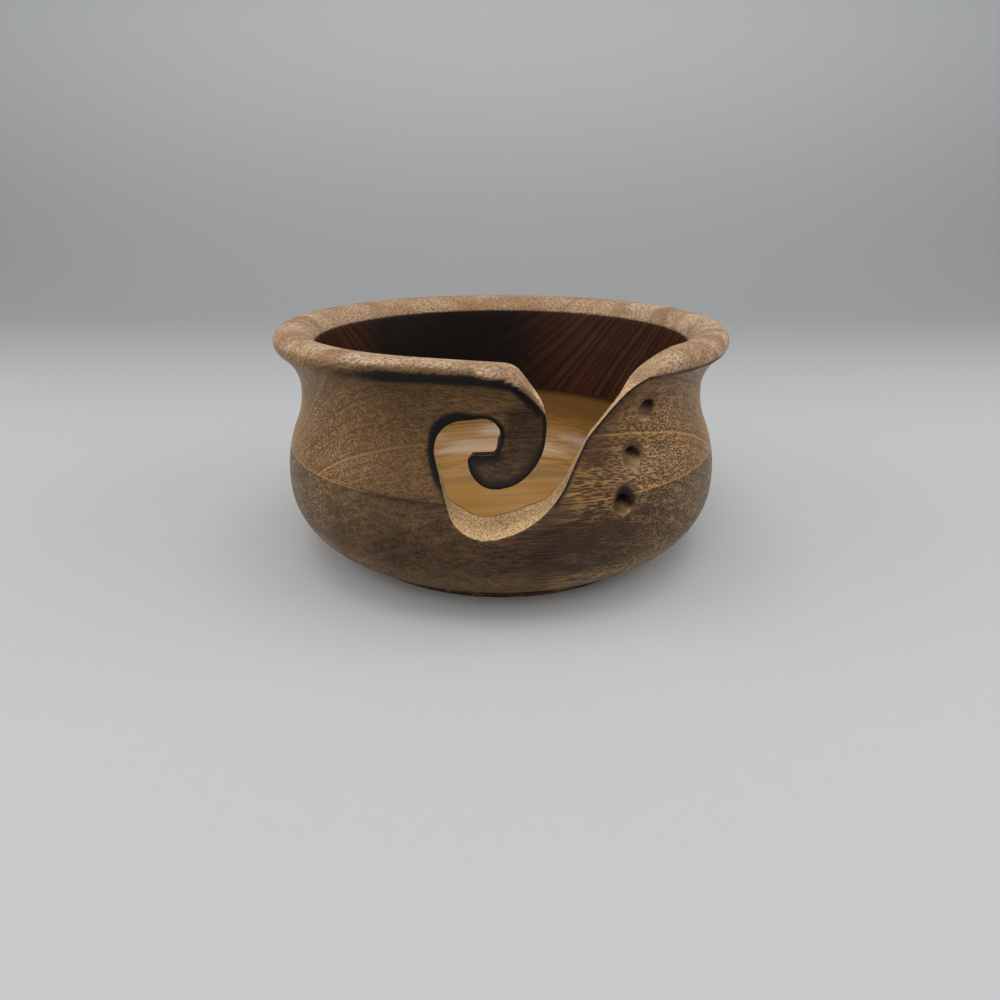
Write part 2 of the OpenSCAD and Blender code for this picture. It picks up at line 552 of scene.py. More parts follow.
def finer_edges(mesh, form):
    """Splits the faces along the slot's and the holes' edges, where the form turns sharply."""
    wall, slot, hole = form.parts(points_of(mesh))
    near_slot = (np.abs(slot) < 1.9) & (wall > -2.2)
    near_hole = (np.abs(hole) < 1.4) & (wall > -1.8)
    near = near_slot | near_hole
    bm = bmesh.new()
    bm.from_mesh(mesh)
    bm.verts.ensure_lookup_table()
    edges = [e for e in bm.edges if near[e.verts[0].index] and near[e.verts[1].index]]
    bmesh.ops.subdivide_edges(bm, edges=edges, cuts=1, use_grid_fill=True)
    bm.to_mesh(mesh)
    bm.free()


# What happened to the surface, and the light and shade painted on it

# Numbers here are places and lengths in millimetres, strengths from 0 to 1, and turns in degrees.

# Depth below the rim at which the rim's sanding stops, by the turn from the front.
SANDING_STOPS = (
    (-180, 5.0),
    (-90, 4.6),
    (-60, 4.2),
    (-35, 3.1),
    (-14, 2.0),
    (-4, 2.3),
    (3, 3.6),
    (20, 5.4),
    (30, 5.7),
    (90, 5.4),
    (180, 5.0),
)
# Width of the pale strip down the hook's back, by height. It narrows to a point.
STRIP_WIDTHS = ((62.3, 0), (64.8, 0.7), (68.4, 1.2), (71.5, 1.8), (73.0, 3.2))
# Strength of the torched band under the rim, by the turn: full from the left shoulder to the hook.
BAND_STRENGTHS = ((-70, 0), (-48, 0.2), (-36, 0.7), (-24, 1), (10, 1), (16, 0))
# Strength of the thin burnt line that follows it at the right.
LINE_STRENGTHS = ((60, 1), (100, 0.5), (150, 0.35))

# Each needle hole from the top down: strength of soot, painted light below, reach of painted shade above.
HOLE_SOOT_AND_PAINTED_LIGHT = ((0.6, 1.0, -0.4), (0.75, 0.65, 0.4), (0.95, 0.3, 1.5))

# Places in the front's figure: strength, X and Z of the middle, spread in X and in Z.
LOWER_SHADE = ((2.2, 23, 26, 15, 8.0), (0.6, -30, 24, 13, 6.0), (0.5, -2, 23, 16, 5.5))
UPPER_SHADE = ((0.85, 25, 50, 9, 14), (0.2, -24, 62, 14, 7))
PALE_PLACES = ((0.8, -27, 52, 11, 15), (0.9, -14, 68, 20, 6), (0.5, -34, 34, 14, 5))


def blob(value, middle, spread):
    """A soft bump: 1 at the middle, fading over the spread."""
    return np.exp(-(((value - middle) / spread) ** 2))


def curve(value, points):
    """Runs straight between points of a value and its result, and holds past the ends."""
    return np.interp(value, *zip(*points))


class SurfaceMarks:
    """How far each point of the surface is hollow, sanded, sawn, torched and so on, from 0 to 1."""

    def __init__(self, form, points):
        self.form = form
        self.x, self.y, self.z = points.T
        self.front = self.y < 0
        self.turn = np.degrees(np.arctan2(self.x, -self.y))
        self.depth = form.depth(points)
        self.on_outside = self.depth < 0.5
        self.drop = form.rim_z - self.z
        self.wall, self.slot, self.hole = form.parts(points)
        self.gap = np.maximum(self.slot, 0)
        self.stops = curve(self.turn, SANDING_STOPS)
        self.strip_width = curve(self.z, STRIP_WIDTHS)
        self.on_hook = self.hook_back()
        self.strip = smooth_step(self.strip_width + 0.35, self.strip_width - 0.35, self.gap) * self.on_hook
        crest = smooth_step(64, 73, self.z)
        past = (-self.slot - self.wall) / form.edge_radius(points)
        self.sawn = smooth_step(0.2 - 0.7 * crest, 1.2 - 0.5 * crest, past)
        self.drilled = smooth_step(-0.3, 0.5, (-self.hole - self.wall) / HOLE_EDGE_ROUND)
        self.sanded = self.sanding()
        self.soot, self.char, self.lit = self.hole_burns()

    def by_name(self):
        """Every mark by its name."""
        marks = {
            "hollow": self.hollow(),
            "sanded": self.sanded,
            "sawn": self.sawn,
            "torched": self.torched(),
            "drilled": self.drilled,
            "lit": self.lit,
            "shade": self.shade(),
            "pale": self.front * self.places(PALE_PLACES),
            "filled": self.filled(),
        }
        return {name: np.clip(values, 0, 1) for name, values in marks.items()}

    def hook_back(self):
        """1 along the hook's back, from the crest down to the pale strip's point."""
        x, z = self.x, self.z
        back = self.front * smooth_step(-8, -5, x) * smooth_step(15, 14, x) * smooth_step(61.5, 62.5, z)
        return back * smooth_step(1.0, 4.5, x + 1.2 * (z - 66))

    def hollow(self):
        """The oiled inside of the wall, and the floor."""
        above_floor = self.z > self.form.floor_z - 1
        wall = smooth_step(0.55, 0.9, self.depth) * smooth_step(3.4, 6.0, self.drop)
        floor = np.hypot(self.x, self.y) < 58
        return np.maximum(wall, floor) * above_floor

    def sanding(self):
        """The sanded rim, the pale strip down the hook, and the slot's cut faces near the top."""
        fade = 0.6 + 2.0 * smooth_step(-8, -20, self.turn)
        outside = smooth_step(self.stops + 0.6, self.stops - fade, self.drop)
        rim = np.where(self.on_outside, outside, smooth_step(6.4, 4.2, self.drop))
        crest = np.maximum(self.strip, outside * smooth_step(74.4, 75.8, self.z))
        rim = np.where(self.on_outside, rim + (crest - rim) * self.on_hook, rim)
        top_cut = self.sawn * smooth_step(12, 5, self.drop)
        return np.maximum(rim * (1 - self.sawn), top_cut)

    def rim_burn(self):
        """The flame's band under the rim, and the thin line that follows it at the right."""
        drop, turn, gap = self.drop, self.turn, self.gap
        below = drop - self.stops
        band = curve(turn, BAND_STRENGTHS) * smooth_step(-0.4, 0.7, below)
        band = band * (1 - 0.97 * smooth_step(2.0, 6.8, below)) * smooth_step(9.5, 6.5, below)
        edge = self.strip_width
        hook = smooth_step(edge - 0.1, edge + 0.5, gap) * smooth_step(edge + 5.5, edge + 1.6, gap)
        line = blob(below, 0.4, 0.55) * smooth_step(24, 31, turn) * curve(turn, LINE_STRENGTHS)
        veil = 0.42 * blob(drop, 8.5, 3.0) * smooth_step(22, 27, turn) * smooth_step(50, 38, turn)
        # The scorch shows as brown speckle over the lower half of the sanded lip.
        speckle = 0.60 * curve(turn, BAND_STRENGTHS) * smooth_step(-1.7, -0.2, below)
        speckle = speckle * self.on_outside * (1 - self.strip)
        return np.maximum.reduce([band * (1 - self.strip), hook * self.on_hook, 0.95 * line, veil, speckle])

    def slot_burn(self):
        """Where the flame blackened the outer face round the slot and over the tongue."""
        x, z, gap = self.x, self.z, self.gap
        left = smooth_step(-5, -13, x)
        upper = smooth_step(54, 60, z)
        low_left = smooth_step(46, 40, z) * smooth_step(-4, -10, x)
        full = 0.5 + 0.5 * left + 0.7 * left * upper - 0.6 * low_left
        fade = 3.0 + 0.8 * left + 1.2 * left * upper - 1.8 * low_left
        eye = smooth_step(15, 13.5, x) * smooth_step(33, 40, z)
        halo = eye * (1 - 0.2 * low_left) * smooth_step(full + fade, full, gap)

        # The tongue is scorched all over.
        tongue = np.maximum(smooth_step(-6, 3.0, x), smooth_step(54, 52, z) * smooth_step(-11, -9.5, x))
        tongue = tongue * smooth_step(15, 13.5, x) * smooth_step(41.5, 42.5, z) * smooth_step(73, 63, z)
        rind = smooth_step(3.6, 0.8, gap) * smooth_step(56, 50, z)
        tongue = tongue * (0.84 - 0.06 * smooth_step(58, 48, z) + 0.14 * rind)

        # A thin line down the right edge, with soot drawn out along the grain in its middle.
        right = smooth_step(12.5, 15, x) * smooth_step(33, 36, z) * smooth_step(75, 71, z)
        line = right * smooth_step(2.3, 0.3, gap)
        drawn = right * 0.92 * np.exp(-gap / 5.0) * smooth_step(42, 56, z) * smooth_step(74, 66, z)
        ledge = 0.62 * smooth_step(38, 33, z) * smooth_step(2.4, 0.2, gap)
        return self.front * np.maximum.reduce([halo, tongue, 0.93 * line, drawn, ledge])

    def hole_burns(self):
        """Soot over each needle hole, painted shade on the upper part of its bore, painted light on the
        lower.
        """
        soot, char, lit = (np.zeros(len(self.x)) for _ in range(3))
        radius = self.form.hole_r
        for (aim_x, aim_y, hole_z), (amount, painted_light, low) in zip(self.form.holes, HOLE_SOOT_AND_PAINTED_LIGHT):
            across = self.x * -aim_y + self.y * aim_x
            up = self.z - hole_z
            near = near_wall(self.x * aim_x + self.y * aim_y)
            outside = np.hypot((across - 0.4) * 1.1, up - 1.5) - radius
            soot = np.maximum(soot, near * amount * smooth_step(2.6, 0.0, outside))
            here = near & (np.abs(across) < radius + 1)
            # Painted shade on the bore's upper part, laid on in the burnt colour.
            charred = 0.86 * smooth_step(-0.9, 1.7, up + low + 0.35 * (across - 0.5))
            char = np.where(here, np.maximum(char, charred), char)
            # Painted light on the bore's lower half.
            lit = np.maximum(lit, here * painted_light * smooth_step(-1.1, -2.7, up + 0.3 * across))
        return soot, char, lit

    def torched(self):
        """The blackened places: flame marks outside and on cut faces, a dark line on the ledge, painted
        shade in bores.
        """
        x, z, sawn = self.x, self.z, self.sawn
        outer_face = smooth_step(0.35, 0.15, self.depth) * (1 - sawn)
        round_slot = self.slot_burn() * (1 - 0.9 * self.sanded)
        outside = np.maximum.reduce([self.rim_burn(), round_slot, self.soot]) * outer_face
        # In the bores, the painted shade takes the place of the flame's marks.
        torched = np.maximum(outside * (1 - self.drilled), self.drilled * self.char)
        # The tongue's own cut faces are scorched too.
        tongue = sawn * smooth_step(-12, -7, x) * smooth_step(15, 12.5, x)
        tongue = tongue * smooth_step(41, 43, z) * smooth_step(12, 16, self.drop)
        # The ledge's edge towards the hollow gets a thin dark line in the same burnt colour.
        inner_edge = sawn * blob(self.wall, -0.5, 0.9) * smooth_step(0.6, 0.85, self.depth)
        inner_edge = inner_edge * smooth_step(44, 38, z)
        return np.maximum.reduce([torched, 0.88 * tongue, 0.85 * inner_edge])

    def places(self, spots):
        """Soft spots on the front, added up."""
        return sum(
            strength * blob(self.x, x, wide) * blob(self.z, z, high) for strength, x, z, wide, high in spots
        )

    def shade(self):
        """Deep brown places: mottles on the front and a line beside the slot at the joint; painted shade on
        the foot.
        """
        x, z, joint = self.x, self.z, self.form.joint_z
        lower = self.places(LOWER_SHADE) + 0.45 * blob(x, -48, 2.6) * smooth_step(36, 30, z)
        mottled = self.front * np.where(z < joint, lower, self.places(UPPER_SHADE))
        # Painted shade: the foot is darkened all round, under the body.
        foot = 0.9 * smooth_step(4.4, 3.2, z)
        beside_slot = 0.95 * smooth_step(-46, -36, x) * smooth_step(-14, -17, x) * self.front
        return np.maximum.reduce([mottled, foot, beside_slot * blob(z, joint, 0.8)])

    def filled(self):
        """Where the finish fills the pores: on the neck and towards the sides."""
        neck = 0.35 * smooth_step(62, 72, self.z)
        sides = 0.55 * smooth_step(48, 75, np.abs(self.turn))
        return np.maximum(neck, sides)


# Materials


class Recipe:
    """Builds one material's node tree with short calls."""

    def __init__(self, name):
        self.material = bpy.data.materials.get(name) or bpy.data.materials.new(name)
        self.material.use_nodes = True
        self.tree = self.material.node_tree
        self.tree.nodes.clear()

    def node(self, kind, settings=None, **inputs):
        """A node with its settings, and its inputs by their names."""
        made = self.tree.nodes.new(kind)
        for key, value in (settings or {}).items():
            setattr(made, key, value)
        for key, value in inputs.items():
            self.put(made.inputs[key.replace("_", " ")], value)
        return made

    def put(self, socket, value):
        """Links another node's output to a socket, or sets the socket's own value."""
        if isinstance(value, bpy.types.NodeSocket):
            self.tree.links.new(value, socket)
        elif socket.type == "RGBA" and len(value) == 3:
            socket.default_value = (*value, 1)
        else:
            socket.default_value = value

    def math(self, operation, *values):
        made = self.tree.nodes.new("ShaderNodeMath")
        made.operation = operation
        for socket, value in zip(made.inputs, values):
            self.put(socket, value)
        return made.outputs[0]

    def add(self, a, b):
        return self.math("ADD", a, b)

    def times(self, a, b):
        return self.math("MULTIPLY", a, b)

    def rest(self, value):
        """What the value leaves of 1."""
        return self.math("SUBTRACT", 1.0, value)

    def peak(self, a, b):
        return self.math("MAXIMUM", a, b)

    def span(self, value, low, high, start=0.0, end=1.0):
        """Maps low..high to start..end, smoothly and held at the ends."""
        made = self.tree.nodes.new("ShaderNodeMapRange")
        made.interpolation_type = "SMOOTHSTEP"
        ends = {"Value": value, "From Min": low, "From Max": high, "To Min": start, "To Max": end}
        for name, number in ends.items():
            self.put(made.inputs[name], number)
        return made.outputs[0]

    def mix(self, share, a, b):
        """The share of b laid over a."""
        made = self.tree.nodes.new("ShaderNodeMix")
        made.data_type = "RGBA"
        self.put(made.inputs[0], share)
        self.put(made.inputs[6], a)
        self.put(made.inputs[7], b)
        return made.outputs[2]

    def place(self, vector, scale, turn=0.0, shift=(0, 0, 0)):
        """The vector turned about Z and stretched by scale."""
        made = self.tree.nodes.new("ShaderNodeMapping")
        self.put(made.inputs["Vector"], vector)
        made.inputs["Rotation"].default_value = (0, 0, turn)
        made.inputs["Scale"].default_value = scale
        made.inputs["Location"].default_value = shift
        return made.outputs[0]

    def noise(self, vector, scale, detail, rough, warp=0.0):
        made = self.tree.nodes.new("ShaderNodeTexNoise")
        self.put(made.inputs["Vector"], vector)
        made.inputs["Scale"].default_value = scale
        made.inputs["Detail"].default_value = detail
        made.inputs["Roughness"].default_value = rough
        made.inputs["Distortion"].default_value = warp
        return made.outputs["Fac"]

    def cells(self, vector):
        """Distance to the nearest of many scattered spots, and that spot's own random colour."""
        made = self.tree.nodes.new("ShaderNodeTexVoronoi")
        made.feature = "F1"
        self.put(made.inputs["Vector"], vector)
        made.inputs["Scale"].default_value = 1.0
        return made.outputs["Distance"], made.outputs["Color"]

    def mark(self, name):
        """A mark that the mesh carries, by its name."""
        made = self.tree.nodes.new("ShaderNodeAttribute")
        made.attribute_name = name
        return made.outputs["Fac"]

    def finish(self, colour, rough, height, depth, coat=None, **fixed):
        """The finished material. height is its fine relief, depth metres deep."""
        shader = self.tree.nodes.new("ShaderNodeBsdfPrincipled")
        self.put(shader.inputs["Base Color"], colour)
        self.put(shader.inputs["Roughness"], rough)
        for key, value in fixed.items():
            shader.inputs[key.replace("_", " ")].default_value = value
        if coat is not None:
            self.put(shader.inputs["Coat Weight"], coat)
        bump = self.node("ShaderNodeBump", Height=height)
        bump.inputs["Strength"].default_value = 1.0
        bump.inputs["Distance"].default_value = depth
        self.tree.links.new(bump.outputs[0], shader.inputs["Normal"])
        out = self.tree.nodes.new("ShaderNodeOutputMaterial")
        self.tree.links.new(shader.outputs[0], out.inputs["Surface"])
        return self.material


def faded(tone, share):
    """A colour made darker, or lighter where the share is over 1."""
    return tuple(min(1.0, c * share) for c in tone)


class Timber(Recipe):
    """The recipe of one board's wood. tones are shared colours, board is its own figure.

    Scales are steps per millimetre along the grain, across it and up. The ends of a span are
    values of a noise, or millimetres where it reads a place.
    """

    def __init__(self, name, tones, board):
        super().__init__(name)
        self.tones = tones
        self.board = board
        where = self.tree.nodes.new("ShaderNodeTexCoord").outputs["Object"]
        # Millimetres in the board's own directions: X along the grain.
        self.mm = self.place(where, (1000, 1000, 1000), -math.radians(board["grain_turn"]))
        axes = self.node("ShaderNodeSeparateXYZ", Vector=self.mm)
        self.along, self.across, self.up = axes.outputs
        self.ring = self.growth_ring()
        self.fibre = self.stretched((0.03, 1.0, 1.0), 4, 0.6)
        self.fine_fibre = self.stretched((0.12, 3.2, 3.2), 3, 0.6)
        self.grit = self.noise(self.mm, 1.7, 3, 0.72)
        self.rag = self.times(self.add(self.noise(self.mm, 0.9, 4, 0.65), -0.5), 1.1)
        self.fine_rag = self.times(self.add(self.grit, -0.5), 0.9)

    def stretched(self, scale, detail, rough, shift=(0, 0, 0), warp=0.0):
        """Noise with its own scale along the grain, across it and up."""
        return self.noise(self.place(self.mm, scale, shift=shift), 1, detail, rough, warp)

    def growth_ring(self):
        """Distance from the tree's heart line, which sways a little, in millimetres."""
        sway = self.stretched((0.012, 0.05, 0.05), 2, 0.5)
        across = self.add(self.across, -self.board["heart"][0])
        up = self.add(self.up, -self.board["heart"][1])
        ring = self.math("SQRT", self.add(self.times(across, across), self.times(up, up)))
        return self.add(ring, self.times(self.add(sway, -0.5), self.board["sway"]))

    def rings(self, step):
        """Noise that changes only from ring to ring."""
        made = self.node("ShaderNodeTexNoise", {"noise_dimensions": "1D"}, W=self.times(self.ring, step))
        made.inputs["Detail"].default_value = 3
        return made.outputs[0]

    def growth_line(self):
        """One growth line that stands out, where its ring is cut."""
        off = self.math("ABSOLUTE", self.add(self.ring, -self.board["line"]))
        return self.span(off, 0.12, 0.5, 1.0, 0.0)

    def figure(self):
        """Growth bands, fibres, slow blotches, mottling, pale and deep brown places, and painted foot shade
        and low bounce light.
        """
        board, light, dark = self.board, self.board["light"], self.board["dark"]
        blotch = self.stretched((0.03, 0.075, 0.075), 3, 0.55, board["blotch_shift"])
        tone = self.add(self.times(self.rings(board["band_step"]), 0.65), self.times(self.fibre, 0.35))
        tone = self.add(tone, self.times(blotch, 0.4))
        colour = self.mix(self.span(tone, 0.54, 0.84), dark, light)
        colour = self.mix(self.span(self.fine_fibre, 0.40, 0.7, 0.0, 0.5), colour, light)
        # Painted bounce light: the front is lighter low down, towards the foot.
        painted_bounce_share = self.span(self.up, 21.0, 11.0, 0.0, board["low_glow"])
        colour = self.mix(painted_bounce_share, colour, faded(light, 1.85))
        pale = self.times(self.mark("pale"), self.span(self.fibre, 0.35, 0.6, 0.45, 0.8))
        colour = self.mix(pale, colour, faded(light, 1.1))
        mottle = self.stretched((0.10, 0.26, 0.26), 4, 0.6, (4, 1, 7))
        mottle = self.add(self.times(mottle, 0.55), self.times(self.fibre, 0.45))
        # The deep brown places, and the painted shade on the foot.
        shade = self.times(self.mark("shade"), self.span(mottle, 0.40, 0.56, 0.62, 1.0))
        colour = self.mix(shade, colour, faded(dark, 0.26))
        cloud = self.stretched((0.10, 0.42, 0.42), 4, 0.66, (2, 6, 3))
        colour = self.mix(self.span(cloud, 0.60, 0.36, 0.0, board["cloud"]), colour, faded(dark, 0.42))
        lifted = self.times(self.span(cloud, 0.50, 0.68, 0.0, board["cloud"]), self.rest(shade))
        return self.mix(lifted, colour, faded(light, 1.15))

    def open_pores(self, line):
        """Open pores: long slivers along the grain, dots where the grain runs out of the face."""
        step = self.board["pore_step"]
        reach, chance = self.cells(self.place(self.mm, (self.board["pore_run"], step, step)))
        size = self.node("ShaderNodeSeparateColor", Color=chance).outputs[0]
        width = self.add(self.times(size, 0.24), 0.39)
        large = self.span(self.math("SUBTRACT", reach, width), -0.10, 0.07, 1.0, 0.0)
        small_reach = self.cells(self.place(self.mm, (0.3, step * 2, step * 2)))[0]
        small = self.span(small_reach, 0.26, 0.50, 1.0, 0.0)
        crowd = self.span(self.stretched((0.03, 0.12, 0.12), 2, 0.5, (9, 4, 2)), 0.34, 0.6, 0.25, 0.75)
        pores = self.peak(large, self.times(small, crowd))
        pores = self.times(pores, self.rest(self.times(line, self.board["line_strength"])))
        hidden = self.peak(self.mark("filled"), self.times(self.mark("torched"), 0.8))
        return self.times(pores, self.rest(hidden))

    def hollow(self):
        """The bowl's inside, with rays at its sides, painted shade high up on the wall, darker next to the
        joint.
        """
        board = self.board
        rings = self.rings(board["hollow_ring"])
        levels = self.stretched(board["hollow_scale"], 4, 0.62, (3, 8, 1), 0.3)
        share = board["ring_share"]
        streak = self.add(self.times(rings, share), self.times(levels, 1 - share))
        slow = self.stretched((0.025, 0.03, 0.06), 2, 0.5, (1, 2, 5))
        inner = self.mix(self.span(streak, 0.36, 0.62), board["hollow_streak"], board["hollow_high"])
        sides = self.add(self.span(self.along, 12.0, 46.0), self.span(self.along, -36.0, -56.0))
        sides = self.times(sides, self.span(slow, 0.3, 0.6, 0.6, 1.0))
        rays = self.span(rings, 0.36, 0.64)
        side = self.mix(rays, faded(board["hollow_side"], 0.45), faded(board["hollow_side"], 1.25))
        inner = self.mix(self.times(sides, board["side_share"]), inner, side)
        # Painted shade: the wall darkens higher up, where less light reaches.
        painted_shade_high = self.span(self.up, board["dim_from"], board["dim_from"] + 13.0, 0.0, board["dim_share"])
        inner = self.mix(painted_shade_high, inner, board["hollow_low"])
        inner = self.mix(self.span(slow, 0.4, 0.7, 0.0, 0.4), inner, board["hollow_low"])
        # Painted light: the floor is lighter towards the front, under the mouth.
        front_light_share = self.span(self.across, 35.0, -20.0, 0.0, board["front_glow"])
        inner = self.mix(front_light_share, inner, board["hollow_front"])
        seam = self.span(self.up, board["seam"] - 3.2, board["seam"], 0.0, board["seam_share"])
        return self.mix(seam, inner, self.tones["stained"])

    def sanded(self):
        """Freshly sanded wood in slow patches, with specks and grit; browner at the back."""
        fresh, rubbed = self.tones["sanded"], self.tones["rubbed"]
        speck = self.stretched((0.9, 1.6, 1.6), 3, 0.72, (5, 5, 5))
        patch = self.stretched((0.05, 0.09, 0.09), 3, 0.6, (6, 3, 1))
        colour = self.mix(self.span(patch, 0.35, 0.68), fresh, rubbed)
        colour = self.mix(self.span(self.across, 15.0, 60.0, 0.0, 0.5), colour, rubbed)
        colour = self.mix(self.span(speck, 0.42, 0.60, 0.0, 0.8), colour, faded(rubbed, 0.55))
        return self.mix(self.span(self.grit, 0.53, 0.64, 0.0, 0.8), colour, faded(rubbed, 0.25))

    def sawn(self):
        """Rough sawn wood with standing fibres."""
        tone = self.tones["sawn"]
        fuzz = self.stretched((1.7, 1.7, 0.8), 3, 0.75, (3, 1, 4))
        colour = self.mix(self.span(fuzz, 0.42, 0.60), faded(tone, 1.2), faded(tone, 0.5))
        return self.mix(self.span(self.grit, 0.52, 0.62, 0.0, 0.85), colour, faded(tone, 0.2))

    def bore(self):
        """The wall of a needle hole in a shaded and a lit tone: painted light on its lower half."""
        dark, pale = faded(self.tones["rubbed"], 0.5), faded(self.tones["sawn"], 0.72)
        return self.mix(self.mark("lit"), dark, pale)

    def torched(self, pores):
        """How far the flame has blackened each place, streaked along the grain."""
        torched = self.mark("torched")
        streaks = self.times(self.add(self.add(self.fibre, self.fine_fibre), -1.0), 0.6)
        streaks = self.add(streaks, self.times(self.rag, 0.3))
        streaks = self.add(streaks, self.times(self.add(pores, -0.3), 0.25))
        half_way = self.times(torched, self.math("SUBTRACT", 1.25, torched))
        return self.span(self.add(torched, self.times(streaks, half_way)), -0.05, 1.0)

    def burnt(self, torched):
        """Blackened wood, with reddish grain where the flame was weaker."""
        burnt, ember = self.tones["burnt"], self.tones["ember"]
        glow = self.times(self.add(self.fibre, self.fine_fibre), 0.5)
        colour = self.mix(self.span(glow, 0.42, 0.60), burnt, ember)
        return self.mix(self.span(torched, 0.88, 0.99), colour, burnt)

    def ragged(self, name, jitter, low, high):
        """A mark whose soft edge is broken up by the jitter."""
        value = self.mark(name)
        off_middle = self.math("ABSOLUTE", self.add(value, -0.5))
        spread = self.times(self.math("SUBTRACT", 0.5, off_middle), 2.0)
        return self.span(self.add(value, self.times(jitter, spread)), low, high)


def wood(name, tones, board):
    """Oiled open-pored timber with a hollow, sanded, sawn, drilled and torched places."""
    timber = Timber(name, tones, board)
    line = timber.growth_line()
    pores = timber.open_pores(line)
    in_hollow = timber.ragged("hollow", timber.times(timber.rag, 0.4), 0.2, 0.85)
    sanding_rag = timber.add(timber.times(timber.rag, 0.8), timber.times(timber.fine_rag, 1.3))
    on_sanded = timber.ragged("sanded", sanding_rag, 0.2, 0.8)
    on_sawn = timber.ragged("sawn", timber.times(timber.fine_rag, 1.6), 0.2, 0.75)
    on_sawn = timber.times(on_sawn, timber.rest(timber.times(on_sanded, 0.9)))
    torched = timber.torched(pores)

    line_share = timber.times(line, board["line_strength"])
    colour = timber.mix(line_share, timber.figure(), faded(board["light"], 1.25))
    colour = timber.mix(timber.times(pores, board["pore_strength"]), colour, tones["pore"])
    colour = timber.mix(in_hollow, colour, timber.hollow())
    colour = timber.mix(on_sanded, colour, timber.sanded())
    colour = timber.mix(on_sawn, colour, timber.sawn())
    colour = timber.mix(timber.times(timber.mark("drilled"), 0.9), colour, timber.bore())
    colour = timber.mix(torched, colour, timber.burnt(torched))

    rough = timber.add(0.46, timber.times(timber.add(timber.fine_fibre, -0.5), 0.2))
    rough = timber.mix(in_hollow, rough, (board["hollow_rough"],) * 3)
    rough = timber.mix(on_sanded, rough, (0.75, 0.75, 0.75))
    rough = timber.mix(on_sawn, rough, (0.9, 0.9, 0.9))
    rough = timber.mix(timber.times(torched, 0.8), rough, (0.72, 0.72, 0.72))

    height = timber.math("SUBTRACT", timber.times(timber.fine_fibre, 0.3), timber.times(pores, 0.7))
    height = timber.mix(in_hollow, height, timber.times(timber.fine_fibre, 0.1))
    height = timber.mix(on_sanded, height, timber.times(timber.grit, 0.7))
    height = timber.mix(on_sawn, height, timber.times(timber.grit, 2.2))

    # A thin coat of oil shines along the flanks, and more of it in the lower hollow.
    worked = timber.peak(on_sanded, on_sawn)
    coat = timber.times(timber.rest(timber.peak(worked, torched)), 0.17)
    coat = timber.mix(in_hollow, coat, (board["hollow_gloss"],) * 3)
    coat = timber.times(coat, timber.rest(worked))
    return timber.finish(
        colour, rough, height, 0.00014, coat, Specular_IOR_Level=0.14, Coat_Roughness=0.20, Coat_IOR=1.5
    )


# In each board's figure, heart is the place of the tree's heart line, across the grain and up in
# millimetres. line is the ring that stands out. Shares, painted light and strengths run from 0 to 1.


def upper_wood(tones, tints):
    """The upper board: ring figure with one pale growth line, and a nearly black hollow."""
    return wood(
        "upper board wood",
        tones,
        {
            "grain_turn": 11.5,
            "heart": (-85.9, -10.4),
            "sway": 2.2,
            "band_step": 0.16,
            "blotch_shift": (0, 0, 0),
            "light": tuple(tints.upper_light),
            "dark": tuple(tints.upper_dark),
            "line": 68.6,
            "line_strength": 0.55,
            "low_glow": 0.0,
            "cloud": 0.22,
            "pore_step": 1.9,
            "pore_run": 0.16,
            "pore_strength": 0.88,
            "hollow_ring": 0.11,
            "ring_share": 0.4,
            "hollow_scale": (0.03, 0.14, 0.14),
            "hollow_low": faded(tints.hollow_dark, 0.55),
            "hollow_streak": faded(tints.hollow_dark, 0.55),
            "hollow_high": faded(tints.hollow_dark, 1.5),
            "hollow_side": tuple(tints.hollow_red),
            "side_share": 0.85,
            "hollow_front": tuple(tints.hollow_gold),
            "front_glow": 0.0,
            "dim_from": 90.0,
            "dim_share": 0.0,
            "seam": 90.0,
            "seam_share": 0.0,
            "hollow_rough": 0.55,
            "hollow_gloss": 0.0,
        },
    )


def lower_wood(tones, tints, joint_z):
    """The lower board: mottled figure, and a glossy honey coloured hollow."""
    return wood(
        "lower board wood",
        tones,
        {
            "grain_turn": 11.5,
            "heart": (10.0, 120.0),
            "sway": 6.0,
            "band_step": 0.12,
            "blotch_shift": (2.3, 1.1, 4.7),
            "light": tuple(tints.lower_light),
            "dark": tuple(tints.lower_dark),
            "line": 300.0,
            "line_strength": 0.0,
            # Painted bounce light, low on the front.
            "low_glow": 0.9,
            "cloud": 0.5,
            "pore_step": 2.2,
            "pore_run": 0.08,
            "pore_strength": 0.95,
            "hollow_ring": 0.3,
            "ring_share": 0.0,
            "hollow_scale": (0.010, 0.14, 1.1),
            "hollow_low": faded(tints.hollow_gold, 0.34),
            "hollow_streak": faded(tints.hollow_gold, 0.6),
            "hollow_high": faded(tints.hollow_gold, 1.1),
            "hollow_side": faded(tints.hollow_gold, 0.5),
            "side_share": 0.3,
            # A lit copy of the gold, for the painted light on the front of the floor.
            "hollow_front": faded(tints.hollow_gold, 1.7),
            "front_glow": 0.6,
            # Painted shade high on the lower hollow's wall.
            "dim_from": 20.0,
            "dim_share": 0.85,
            "seam": joint_z,
            "seam_share": 0.85,
            "hollow_rough": 0.35,
            "hollow_gloss": 1.0,
        },
    )


def glue_film(tones):
    """Dark set glue with wood dust in it at both sides, hidden by fibres where the saw went through."""
    film = Recipe("glue line")
    where = film.tree.nodes.new("ShaderNodeTexCoord").outputs["Object"]
    dust = film.noise(where, 900, 3, 0.6)
    side = film.node("ShaderNodeSeparateXYZ", Vector=where).outputs[0]
    dusty = film.peak(film.span(side, -0.032, -0.045), film.span(side, 0.018, 0.026))
    dusty = film.times(dusty, film.span(dust, 0.3, 0.5, 0.6, 1.0))
    colour = film.mix(dusty, tones["glue"], tones["dust"])
    colour = film.mix(film.mark("hollow"), colour, tones["stained"])
    colour = film.mix(film.times(film.mark("sawn"), 0.85), colour, tones["sawn"])
    colour = film.mix(film.mark("torched"), colour, tones["burnt"])
    return film.finish(colour, 0.5, dust, 0.00005, Specular_IOR_Level=0.14)


